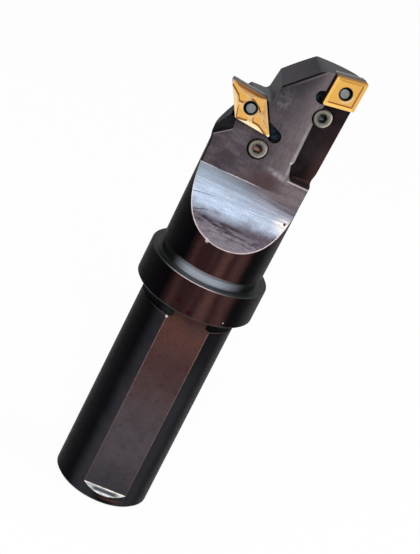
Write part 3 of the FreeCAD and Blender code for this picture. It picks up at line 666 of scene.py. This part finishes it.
        # Painted reflection: a bright band down the gash where its hollow faces the light above.
        bright = (below - f.most(side, 0.0) * 0.13).slope(-0.5, 10.5)
        scratches = f.most((below + side * 0.12).near(8.8, 0.12, 0.14),
                           (below + side * 0.3).near(12.2, 0.14, 0.3) * 0.8)
        hairs = (below + side * -0.12 + fine * 0.5).near(2.4, 0.1, 0.12)
        low = f.layers(
            c.gash_low,
            (blotch, c.gash_stain),
            (below.fall(17.0, 20.5) * 0.75, c.gash_stain),
            (fine * streaks * 0.5, c.gash_stain))
        tone = f.layers(
            c.gash_grey,
            (side.slope(-14, 4), c.face_grey),
            (side.slope(1, 12) * f.level(streaks, 0.6, 1.0), c.face_light),
            (bright * f.level(streaks, 1.0, 0.78), c.gash_steel),
            (side.rise(7, 14) * below.between(0.5, 5.0, 1.5) * streaks * 0.8, c.face_grey),
            (place.rise(12.2, 17.6), low),
            (below.between(17.4, 20.0, 0.8) * blotch * side.fall(5, 11) * 0.9, c.pocket_black),
            (below.rise(20, 25) * 0.7, c.gash_low),
            (fine * 0.14, c.gash_stain),
            (scratches * side.fall(-12, -8) * 0.8, c.pocket_black),
            (hairs * side.rise(4, 7) * 0.7, c.gash_stain))
        f.cover(gash, tone, f.level(streaks, 0.36, 0.5), 0.25)
        patch = f.distance((side - PATCH[0]) * 0.7, below - PATCH[1])
        f.cover(gash * patch.fall(0.2, 4.5) * f.level(streaks, 0.75, 0.35), c.white_spot)
        # Painted highlight along the kink between the main face and the gash.
        ends = f.most(side.fall(-15, -12), side.between(-9, 4.5, 3.0))
        kink = below.fall(0.12, 0.4) * ends * f.level(self.mottle, 0.5, 0.9)
        f.cover(gash * kink, c.border_pale)
        # Pale border round the gash: partly a painted highlight of its edge.
        rim = self.skin.fall(0.26, 0.42) * below.rise(4, 14) * f.level(self.mottle, 0.6, 1.0)
        f.cover(gash * rim, c.border_pale, 0.35, 0.2)
        chip = f.distance(f.x - CHIP[0], (f.z - CHIP[1]) * 0.7)
        chip = chip.fall(0.5, 1.0) * self.head * self.skin.fall(0.5, 0.8) * f.y.fall(-6, -5)
        f.cover(chip * 0.7, c.border_pale)
        nick = f.distance(f.x - NICK[0], f.z - NICK[1])
        f.cover(nick.fall(0.3, 0.8) * gash, c.oxide_brown)
        return gash * streaks

    def recesses(self):
        """Dark recesses beside the two seats; the right one's floor is painted dark as shade, with a painted
        highlight on the fillet at its foot.
        """
        f, s, c = self.f, self.sizes, self.colours
        left = self.depth.near(self.level - s.left_recess_depth, ON_PLANE) * self.head * f.x.fall(-4, -3)
        f.cover(left, f.blend(self.mottle * 0.25, c.recess_dark, c.face_cool), 0.5, 0.0)
        f.cover(left * f.z.fall(160, 168) * 0.7, c.ring_dark)
        normal = Vector((-math.sin(s.recess_slope), math.cos(s.recess_slope), 0))
        off = f.off_plane((s.recess_side, s.recess_level, 0), normal)
        side = f.x - s.recess_border
        foot = s.recess_foot
        right = (side.rise(-1.2, -0.8) * off.rise(-1.2, -1.0) * off.fall(0.04, 0.08)
                 * f.z.between(foot - 0.05, 200.0) * self.depth.fall(self.level - 0.1, self.level - 0.05))
        # Painted shade: the right recess's floor, turned away from the light, is painted dark.
        tone = f.layers(
            c.recess_brown,
            (self.smudge * 0.14, c.face_grey),
            (side.rise(5, 10.5) * f.z.fall(160, 190) * 0.3, c.oxide_light))
        f.cover(right, tone, 0.46, 0.0)
        # Painted highlight on the fillet at the recess's foot.
        fillet = f.z.between(foot + 0.25, foot + 1.1, 0.15)
        f.cover(right * fillet * side.rise(1.0, 4.0) * 0.25, c.oxide_light)

    def upper_faces(self):
        """The roof's two facets, the notch's wall and floor, and milling lines across them; the slanting
        facet is painted darker as shade.
        """
        f, s, c = self.f, self.sizes, self.colours
        behind = self.depth.fall(self.level - 0.08, self.level - 0.04) * self.head
        slant = facet_normal(s.roof_angle, s.roof_relief)
        facet = f.off_plane((s.roof_side, 0, s.roof_height), slant).near(0, ON_PLANE) * behind
        milled = f.noise(f.stretched((f.along(slant.cross(Vector((0, 1, 0)))), 0.1), (f.y, 2.4), (f.z, 0.0)),
                         1.0, detail=2)
        # Painted shade: the slanting facet, which faces up and to the left, is painted darker than the end
        # facet and the notch, darkest towards the right.
        tone = f.blend(f.x.fall(-4, 6), c.roof_dark, c.face_cool)
        f.cover(facet, f.blend(milled * 0.25, tone, c.roof_light), 0.45, 0.0)
        off = f.off_plane((0, 0, s.crown_height), facet_normal(s.crown_angle, s.crown_relief))
        crown = off.rise(-2.2, -0.3) * behind * (1 - facet)
        f.cover(crown, f.blend(milled * 0.25, c.roof_light, c.roof_dark), 0.45, 0.0)
        notch = behind * f.z.between(174.0, 189.6) * f.x.fall(-4.6, -4.3) * (1 - facet)
        wall = notch * f.along(LEFTWARD, f.normal).rise(0.6, 0.9) * f.x.rise(-12, -9)
        f.cover(wall, f.blend(milled * 0.3, c.roof_light, c.roof_dark), 0.45, 0.0)
        floor = notch * f.along(UPWARD, f.normal).rise(0.3, 0.8)
        f.cover(floor, f.blend(milled * 0.25, c.horn_grey, c.face_grey), 0.42, 0.0)
        return milled

    def seats_inside(self):
        """Walls and drillings in the pockets painted near black as shade, with a blue-grey ground floor."""
        f, c = self.f, self.colours
        for name in LEAN:
            seat = SeatFrame(f, self.sizes, self.seats, name)
            deep, off = seat.w, seat.hole
            inside = (off.fall(POCKET_REACH, POCKET_REACH + 0.1)
                      * deep.between(-BORE_DEPTH, self.level - 0.1) * self.skin.fall(-9, -8)
                      * self.skin.rise(0.3, 0.4))
            wall = abs(f.along(seat.out, f.normal)).fall(0.2, 0.4)
            upright = abs(f.along(UPWARD, f.normal)).fall(0.985, 0.99)
            walls = (inside * wall * upright * deep.between(-WALL_DEPTH, self.level - 0.1)
                     * off.fall(WALL_REACH, WALL_REACH + 0.1))
            # Painted shade: the pocket walls are painted near black.
            f.cover(walls, c.pocket_black, 0.5, 0.0)
            floor = deep.near(-self.seats.floor_depth, ON_PLANE) * off.fall(FLOOR_REACH, FLOOR_REACH + 0.2)
            f.cover(floor, f.blend(self.mottle, c.pocket_blue, c.pocket_black), 0.4, 0.2)

    def material(self):
        self.turned_faces()
        self.collar()
        self.clamping_flat()
        milled = self.upper_faces()
        self.main_face()
        brushed = self.gash()
        self.recesses()
        self.seats_inside()
        return self.f.finish(self.grit * 0.4 + brushed + milled * 0.2, BAR_BUMP)


class SeatFrame:
    """A seat's own coordinates: along the insert's long diagonal, across it, and out of the rake face."""

    def __init__(self, f, sizes, seats, side, reach=0.0):
        """Its origin is the middle of the insert's hole, or lies so far from it towards the lever screw."""
        centre, turn, nose, towards = (getattr(seats, side + name)
                                       for name in ("_centre", "_turn", "_nose", "_screw_turn"))
        right, up, out = seat_axes(sizes.rake_angle, LEAN[side])
        middle = centre + (right * math.cos(towards) + up * math.sin(towards)) * reach
        self.out = out
        self.u = f.along(right) - middle.dot(right)
        self.v = f.along(up) - middle.dot(up)
        self.w = f.along(out) - middle.dot(out)
        cosine, sine = math.cos(turn), math.sin(turn)
        self.along = self.u * cosine + self.v * sine
        self.across = self.v * cosine - self.u * sine
        self.hole = f.distance(self.u, self.v)
        slant = abs(self.along) * math.sin(nose / 2) + abs(self.across) * math.cos(nose / 2)
        self.inset = seats.circle / 2 - slant

    def quarter(self, along, across):
        """1 on one quarter of the insert, by the signs of the two coordinates."""
        return (self.along * along).rise(-0.2, 0.2) * (self.across * across).rise(-0.2, 0.2)


def coating_base(name, c):
    """Gold-coloured coating with a faint mottle."""
    f = Finish(name, COATING_SPECULAR)
    mottle = f.noise(f.place, 0.45, detail=3)
    f.base = f.blend(mottle * 0.22, c.coating, c.coating_pale)
    f.rough = f.level(f.noise(f.place, 2.0, detail=2), 0.32, 0.42)
    f.metal = f.level(mottle, 0.45, 0.55)
    return f


def coating_edges(f, seat, c, thickness):
    """Ground sides with painted light: painted shade where they face the left and lower down, a painted
    reflection of the grey steel where they face up; a bore painted black as shade.
    """
    side = abs(f.along(seat.out, f.normal)).fall(0.3, 0.5) * seat.hole.rise(SIDES_START, SIDES_START + 0.2)
    upward = f.along(UPWARD, f.normal).rise(0.3, 0.6)
    leftward = f.along(LEFTWARD, f.normal).rise(0.3, 0.6)
    # Painted shade and reflection by the way each side faces.
    tone = f.layers(
        c.coating_side,
        (seat.w.fall(-3.2, -0.7) * upward, c.coating_grey),
        (leftward * (1 - upward) * seat.w.slope(-0.3, -2.4, 0.4, 1.0), c.coating_deep))
    f.cover(side, f.blend(seat.w.slope(-1.0, -thickness) * 0.5, tone, c.coating_deep), 0.45, 0.2)
    # Painted shade: the bore is black.
    bore = seat.w.fall(-0.2, -0.12) * seat.hole.fall(HOLE_REACH, HOLE_REACH + 0.1)
    f.cover(bore, c.pocket_black, 0.5, 0.0)


def island_gap(f, along, across):
    """How far a point lies inside the outline of the left insert's raised islands, in millimetres."""
    reach, aside = abs(along), abs(across)
    half = (reach.slope(ISLAND_START, 5.0, 0.8, 1.85) + reach.slope(5.0, 7.0, 0.0, -1.1)
            + reach.slope(7.0, ISLAND_END, 0.0, -0.3))
    tip = f.least(half - aside, reach - ISLAND_START, ISLAND_END - reach)
    inner = 3.1 - f.most(reach - 1.5, 0.0) * 0.25
    side = f.least(6.4 - reach * 0.87 - aside, aside - inner, SIDE_ISLAND_END - reach)
    return f.most(tip, side)


def left_coating(sizes, seats, c):
    """The left insert: orange islands with dark outlines of painted shadow in a pale dish painted lighter
    towards the light.
    """
    f = coating_base("gold_coating_left", c)
    seat = SeatFrame(f, sizes, seats, "left")
    top = f.along(seat.out, f.normal).rise(0.5, 0.7)
    mottle = f.noise(f.place, 0.5, detail=3)
    here = island_gap(f, seat.along, seat.across)
    island = seat.w.near(-seats.island_drop, 0.1, 0.004) * here.rise(-0.12, 0.06) * top
    dish = top * (1 - island)
    # Painted light: the dish is lighter on its side towards the light.
    light = seat.across.slope(5.5, -4.5) + (mottle - 0.5) * 0.5
    f.cover(dish, f.blend(light, c.coating_dull, c.coating_pale), 0.38, 0.35)
    edge = seat.inset.fall(seats.left_slope - 0.5, seats.left_slope + 0.1)
    # Painted shade on the dish's upper quarter and upper edges; painted light on the lower edges that face
    # the light.
    upper = seat.quarter(-1, 1)
    f.cover(dish * upper * seat.inset.fall(1.2, 2.8) * 0.8, c.coating_dull, 0.4, 0.4)
    shaded_edge = f.blend(seat.along.slope(-10, -1), c.coating_brown, c.coating_dark)
    f.cover(dish * edge * upper, shaded_edge, 0.4, 0.4)
    f.cover(dish * edge * seat.quarter(-1, -1) * 0.5, c.coating_bright, 0.4, 0.2)
    f.cover(dish * edge * seat.quarter(1, -1), c.coating_bright, 0.4, 0.1)
    f.cover(dish * edge * seat.quarter(1, 1) * 0.5, c.coating_pale, 0.4, 0.3)
    f.cover(island, f.blend(mottle * 0.35, c.coating, c.coating_pale), 0.36, 0.45)
    # Painted shadows as dark outlines on the lower-left sides of the islands, and painted highlights on
    # their other sides.
    beside = island_gap(f, seat.along - 0.3, seat.across + 0.85)
    shade = (beside.rise(-0.05, 0.3) * (1 - island) * top
             * seat.hole.rise(HOLE_REACH + 0.05, HOLE_REACH + 0.15))
    f.cover(shade, c.coating_dark, 0.5, 0.2)
    lit = island_gap(f, seat.along + 0.1, seat.across - 0.35)
    f.cover(lit.rise(-0.05, 0.1) * (1 - island) * (1 - shade) * top * 0.4, c.coating_bright)
    tip = seat.along.rise(ISLAND_END, ISLAND_END + 0.6) * top
    f.cover(tip, c.white_spot, 0.3, 0.2)
    worn = seat.along.fall(-12.9, -12.1) * seat.w.rise(-1.2, -1.0)
    f.cover(worn, f.blend(f.noise(f.place, 1.2, detail=3), c.coating_grey, c.white_spot), 0.4, 0.1)
    coating_edges(f, seat, c, seats.thickness)
    return f.finish(f.noise(f.place, 6.0, detail=2), FINE_BUMP)


def right_coating(sizes, seats, c):
    """The right insert: a sloping land and a groove round a flat middle, each painted lighter and darker by
    the side it faces, with a painted highlight by the hole.
    """
    f = coating_base("gold_coating_right", c)
    seat = SeatFrame(f, sizes, seats, "right")
    top = f.along(seat.out, f.normal).rise(0.5, 0.7)
    bottom, left, right, upper = (seat.quarter(*signs) for signs in ((1, 1), (1, -1), (-1, 1), (-1, -1)))
    # Painted light by side: land and middle lighter on the sides towards the light, groove darker on the
    # sides away from it, edges bright where they face the light.
    land = seat.inset.fall(seats.right_groove - 0.1, seats.right_groove + 0.1) * top
    f.cover(land * f.most(left, bottom) * 0.6, c.coating_yellow, 0.34)
    f.cover(land * right * 0.3, c.coating_pale)
    f.cover(land * upper * seat.inset.fall(0.1, 1.2) * 0.6, c.coating_side)
    groove = seat.inset.near(seats.right_groove + 0.12, 0.34, 0.14) * top
    f.cover(groove * f.most(bottom, right), c.coating_brown, 0.45)
    f.cover(groove * upper * 0.6, c.coating_brown, 0.45)
    inner = seat.inset.near(seats.right_middle + 0.2, 0.12, 0.14) * top
    f.cover(inner * f.most(left, upper) * 0.4, c.coating_yellow)
    f.cover(seat.inset.near(0.18, 0.1, 0.1) * f.most(left, bottom) * top * 0.5, c.coating_bright)
    # Painted highlight: a bright crescent beside the hole.
    shine = seat.hole.near(3.3, 0.3, 0.5) * (seat.u * 0.9 - seat.v).rise(1.8, 4.0) * top
    f.cover(shine * 0.6, c.coating_bright)
    # Painted shade in the mouth of the hole.
    mouth = seat.hole.fall(HOLE_REACH - 0.05, HOLE_REACH + 0.1) * seat.w.rise(-0.45, -0.4)
    f.cover(mouth, c.coating_dark, 0.5, 0.2)
    coating_edges(f, seat, c, seats.thickness)
    return f.finish(f.noise(f.place, 6.0, detail=2), FINE_BUMP)


def screw_finish(sizes, seats, c, side, bottom):
    """Turned screw with a socket painted dark as shade, a rim with painted shade and a painted highlight;
    the bottom of the socket has a colour of its own, shown only on its lit side.
    """
    f = Finish(side + "_screw_steel")
    seat = SeatFrame(f, sizes, seats, side, getattr(seats, side + "_screw_reach"))
    over_top = seat.w + seats.screw_drop
    rings = f.noise(f.stretched((seat.hole, 2.2), (seat.w, 0.6), (seat.w, 0.0)), 1.4, detail=2)
    mottle = f.noise(f.place, 0.9, detail=4, roughness=0.6)
    f.base = f.blend(rings * 0.3, c.screw_steel, c.pin_steel)
    f.base = f.blend(mottle * 0.3, f.base, c.screw_shade)
    f.rough, f.metal = f.level(mottle, 0.34, 0.48), 0.5
    # Painted light: the rim is painted shaded on one side and given a painted highlight on its lower right.
    low_left = seat.u * -0.31 - seat.v * 0.94
    low_right = seat.u * 0.95 - seat.v * 0.31
    rim = seat.hole.rise(3.1, 3.5) * over_top.rise(-0.7, -0.5)
    f.cover(rim * low_right.slope(1.5, -2.5), c.screw_shade)
    f.cover(rim * low_right.rise(1.0, 3.0) * 0.55, c.white_spot)
    # Painted shade in the gap round the head.
    gap = seat.hole.rise(HEAD_EDGE, HEAD_EDGE + 0.07) * over_top.fall(-0.45, -0.35)
    f.cover(gap, c.pocket_black, 0.5, 0.1)
    brim = seat.hole.fall(SOCKET_REACH, SOCKET_REACH + 0.3) * over_top.rise(-0.1, -0.05)
    f.cover(brim * 0.6, c.screw_shade)
    # Painted shade in the socket: walls darken to black with depth and on one side; the floor's own colour
    # shows only on its lower-left side, the rest left black as shadow.
    socket = over_top.fall(-0.15, -0.02) * seat.hole.fall(SOCKET_REACH, SOCKET_REACH + 0.05)
    walls = f.blend(over_top.slope(-0.1, -0.6), c.screw_shade, c.pocket_black)
    f.cover(socket, f.blend(low_left.rise(-0.6, 0.6), walls, c.pocket_black), 0.5, 0.0)
    floor = over_top.fall(-3.6, -3.2) * over_top.rise(-4.2, -4.1) * socket
    f.cover(floor * low_left.rise(0.1, 0.8) * 0.75, bottom, 0.5, 0.0)
    return f.finish(rings, SCREW_BUMP)


def lever_finish(sizes, seats, c, side):
    """Lever whose pin has a rubbed edge at the top, brighter on its upper side as a painted highlight; lower
    down, inside the hole, it is painted black as shade.
    """
    f = Finish(side + "_lever_steel")
    seat = SeatFrame(f, sizes, seats, side, seats.pin_offset)
    mottle = f.noise(f.place, 1.3, detail=4, roughness=0.6)
    f.base = f.blend(mottle * 0.5, c.pin_steel, c.face_grey)
    f.rough, f.metal = f.level(mottle, 0.32, 0.46), 0.5
    edge = seat.hole.rise(1.5, 1.62) * seat.w.rise(-1.3, -1.1)
    # Rubbed edge with a painted highlight, brighter on the upper side.
    f.cover(edge * f.level(seat.v.rise(-1, 1), 0.35, 0.95), c.pin_light)
    # Painted shade: the lever is black lower down in the hole.
    f.cover(seat.w.fall(-2.2, -1.2), c.pocket_black, 0.5, 0.1)
    return f.finish(mottle, FINE_BUMP)


def ground_finish(name, tone, shade):
    """Ground steel or carbide with fine mottle and grinding lines."""
    f = Finish(name)
    mottle = f.noise(f.place, 1.1, detail=4, roughness=0.6)
    lines = f.noise(f.stretched((f.x, 0.3), (f.y, 5.0), (f.z, 0.3)), 1.0, detail=2)
    f.base = f.blend(mottle * 0.6, tone, shade)
    f.rough, f.metal = f.level(mottle, 0.35, 0.5), 0.4
    f.cover(lines * 0.25, shade)
    return f.finish(lines, FINE_BUMP)


def floor_finish(tone):
    """Pale floor that stays white to the camera and keeps the shadow."""
    material = bpy.data.materials.new("pale_floor")
    material.use_nodes = True
    tree = material.node_tree
    tree.nodes.clear()
    output = tree.nodes.new("ShaderNodeOutputMaterial")
    shader = tree.nodes.new("ShaderNodeBsdfPrincipled")
    shader.inputs["Base Color"].default_value = (*tone, 1)
    shader.inputs["Roughness"].default_value = FLOOR_ROUGHNESS
    shader.inputs["Specular IOR Level"].default_value = 0.0
    glow = tree.nodes.new("ShaderNodeEmission")
    share = tree.nodes.new("ShaderNodeMath")
    share.operation = "MULTIPLY"
    share.inputs[1].default_value = FLOOR_GLOW
    tree.links.new(background_rays(tree), share.inputs[0])
    mix = tree.nodes.new("ShaderNodeMixShader")
    tree.links.new(share.outputs[0], mix.inputs[0])
    tree.links.new(shader.outputs[0], mix.inputs[1])
    tree.links.new(glow.outputs[0], mix.inputs[2])
    tree.links.new(mix.outputs[0], output.inputs[0])
    return material


def background_rays(tree):
    """1 for rays from the camera, a reflection or a transmission."""
    path = tree.nodes.new("ShaderNodeLightPath")
    total = path.outputs["Is Camera Ray"]
    for name in ("Is Glossy Ray", "Is Transmission Ray"):
        node = tree.nodes.new("ShaderNodeMath")
        node.operation = "MAXIMUM"
        tree.links.new(total, node.inputs[0])
        tree.links.new(path.outputs[name], node.inputs[1])
        total = node.outputs[0]
    return total


def groups(scene):
    """Sizes of the bar and of the seats in millimetres, and the colours."""
    return InMillimetres(scene.bar_sizes), InMillimetres(scene.bar_seats), scene.bar_colours


def dress(node, material):
    """Give a CAD node its finish."""
    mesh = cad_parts[node].data
    mesh.materials.clear()
    mesh.materials.append(material)


class FinishBar(bpy.types.Operator):
    """Finish the bar's body"""
    bl_idname = "boring_bar.finish_bar"
    bl_label = "Finish Bar"

    def execute(self, context):
        dress("bar_body", Bar(*groups(context.scene)).material())
        return {"FINISHED"}


class FinishInserts(bpy.types.Operator):
    """Finish both inserts"""
    bl_idname = "boring_bar.finish_inserts"
    bl_label = "Finish Inserts"

    def execute(self, context):
        dress("left_insert", left_coating(*groups(context.scene)))
        dress("right_insert", right_coating(*groups(context.scene)))
        return {"FINISHED"}


class FinishSeats(bpy.types.Operator):
    """Finish the shims and the sleeves that hold them"""
    bl_idname = "boring_bar.finish_seats"
    bl_label = "Finish Seats"

    def execute(self, context):
        colours = context.scene.bar_colours
        ground = ground_finish("ground_shim", colours.shim, colours.face_grey)
        sleeve = ground_finish("sleeve_steel", colours.pin_steel, colours.recess_dark)
        for side in LEAN:
            dress(side + "_shim", ground)
            dress(side + "_shim_pin", sleeve)
        return {"FINISHED"}


class FinishClamps(bpy.types.Operator):
    """Finish the levers and their screws"""
    bl_idname = "boring_bar.finish_clamps"
    bl_label = "Finish Clamps"

    def execute(self, context):
        sizes, seats, colours = groups(context.scene)
        for side, bottom in (("left", colours.copper), ("right", colours.pin_steel)):
            dress(side + "_lever", lever_finish(sizes, seats, colours, side))
            dress(side + "_lever_screw", screw_finish(sizes, seats, colours, side, bottom))
        return {"FINISHED"}


class SetStage(bpy.types.Operator):
    """Add the floor, the light and the camera"""
    bl_idname = "boring_bar.set_stage"
    bl_label = "Set Stage"

    def execute(self, context):
        lay_floor(context.scene.bar_colours.floor)
        light_world(context.scene)
        for lamp in LAMPS:
            hang_lamp(*lamp)
        place_camera(context.scene)
        return {"FINISHED"}


def lay_floor(tone):
    mesh = bpy.data.meshes.new("floor")
    corners = [(x * FLOOR_HALF, y * FLOOR_HALF, 0) for x, y in ((-1, -1), (1, -1), (1, 1), (-1, 1))]
    mesh.from_pydata(corners, [], [(0, 1, 2, 3)])
    floor = bpy.data.objects.new("floor", mesh)
    bpy.context.collection.objects.link(floor)
    mesh.materials.append(floor_finish(tone))


def light_world(scene):
    world = bpy.data.worlds.new("studio")
    scene.world = world
    world.use_nodes = True
    tree = world.node_tree
    sky = tree.nodes["Background"]
    sky.inputs["Color"].default_value = (1, 1, 1, 1)
    strength = tree.nodes.new("ShaderNodeMapRange")
    tree.links.new(background_rays(tree), strength.inputs["Value"])
    strength.inputs["To Min"].default_value = WORLD_LIGHT
    strength.inputs["To Max"].default_value = WORLD_BACKGROUND
    tree.links.new(strength.outputs[0], sky.inputs["Strength"])


def hang_lamp(name, spot, target, width, depth, watts):
    light = bpy.data.lights.new(name, "AREA")
    light.shape = "RECTANGLE"
    light.size = width
    light.size_y = depth
    light.energy = watts
    lamp = bpy.data.objects.new(name, light)
    bpy.context.collection.objects.link(lamp)
    aim = Vector(target) - Vector(spot)
    lamp.matrix_world = Matrix.Translation(spot) @ aim.to_track_quat("-Z", "Y").to_matrix().to_4x4()


def place_camera(scene):
    """Camera where the photograph was taken from, turned about its line of sight as it was."""
    elevation, azimuth, roll = map(math.radians, (CAMERA_ELEVATION, CAMERA_AZIMUTH, CAMERA_ROLL))
    back = Vector((-math.sin(azimuth) * math.cos(elevation), -math.cos(azimuth) * math.cos(elevation),
                   math.sin(elevation)))
    level = Vector((math.cos(azimuth), -math.sin(azimuth), 0))
    rise = back.cross(level)
    right = level * math.cos(roll) + rise * math.sin(roll)
    top = rise * math.cos(roll) - level * math.sin(roll)
    data = bpy.data.cameras.new("camera")
    data.sensor_width = CAMERA_SENSOR
    data.lens = CAMERA_LENS
    data.clip_end = CAMERA_REACH
    camera = bpy.data.objects.new("camera", data)
    scene.collection.objects.link(camera)
    turn = Matrix((right, top, back)).transposed().to_4x4()
    camera.matrix_world = Matrix.Translation(CAMERA_PLACE) @ turn
    scene.camera = camera
    scene.view_settings.view_transform = "Standard"


class BarPanel(bpy.types.Panel):
    """Lists the steps that finish the bar"""
    bl_idname = "VIEW3D_PT_boring_bar"
    bl_label = "Boring Bar"
    bl_space_type = "VIEW_3D"
    bl_region_type = "UI"
    bl_category = "Boring Bar"

    def draw(self, context):
        for operator in OPERATORS:
            self.layout.operator(operator.bl_idname)


OPERATORS = (FinishBar, FinishInserts, FinishSeats, FinishClamps, SetStage)
GROUPS = {"bar_sizes": BarSizes, "bar_seats": SeatSizes, "bar_colours": BarColours}
CLASSES = (*GROUPS.values(), *OPERATORS, BarPanel)


def register():
    for item in CLASSES:
        bpy.utils.register_class(item)
    for name, group in GROUPS.items():
        setattr(bpy.types.Scene, name, bpy.props.PointerProperty(type=group))


def unregister():
    for name in GROUPS:
        delattr(bpy.types.Scene, name)
    for item in reversed(CLASSES):
        bpy.utils.unregister_class(item)


def main():
    register()
    for operator in OPERATORS:
        group, name = operator.bl_idname.split(".")
        getattr(getattr(bpy.ops, group), name)()


if __name__ == "__main__":
    main()
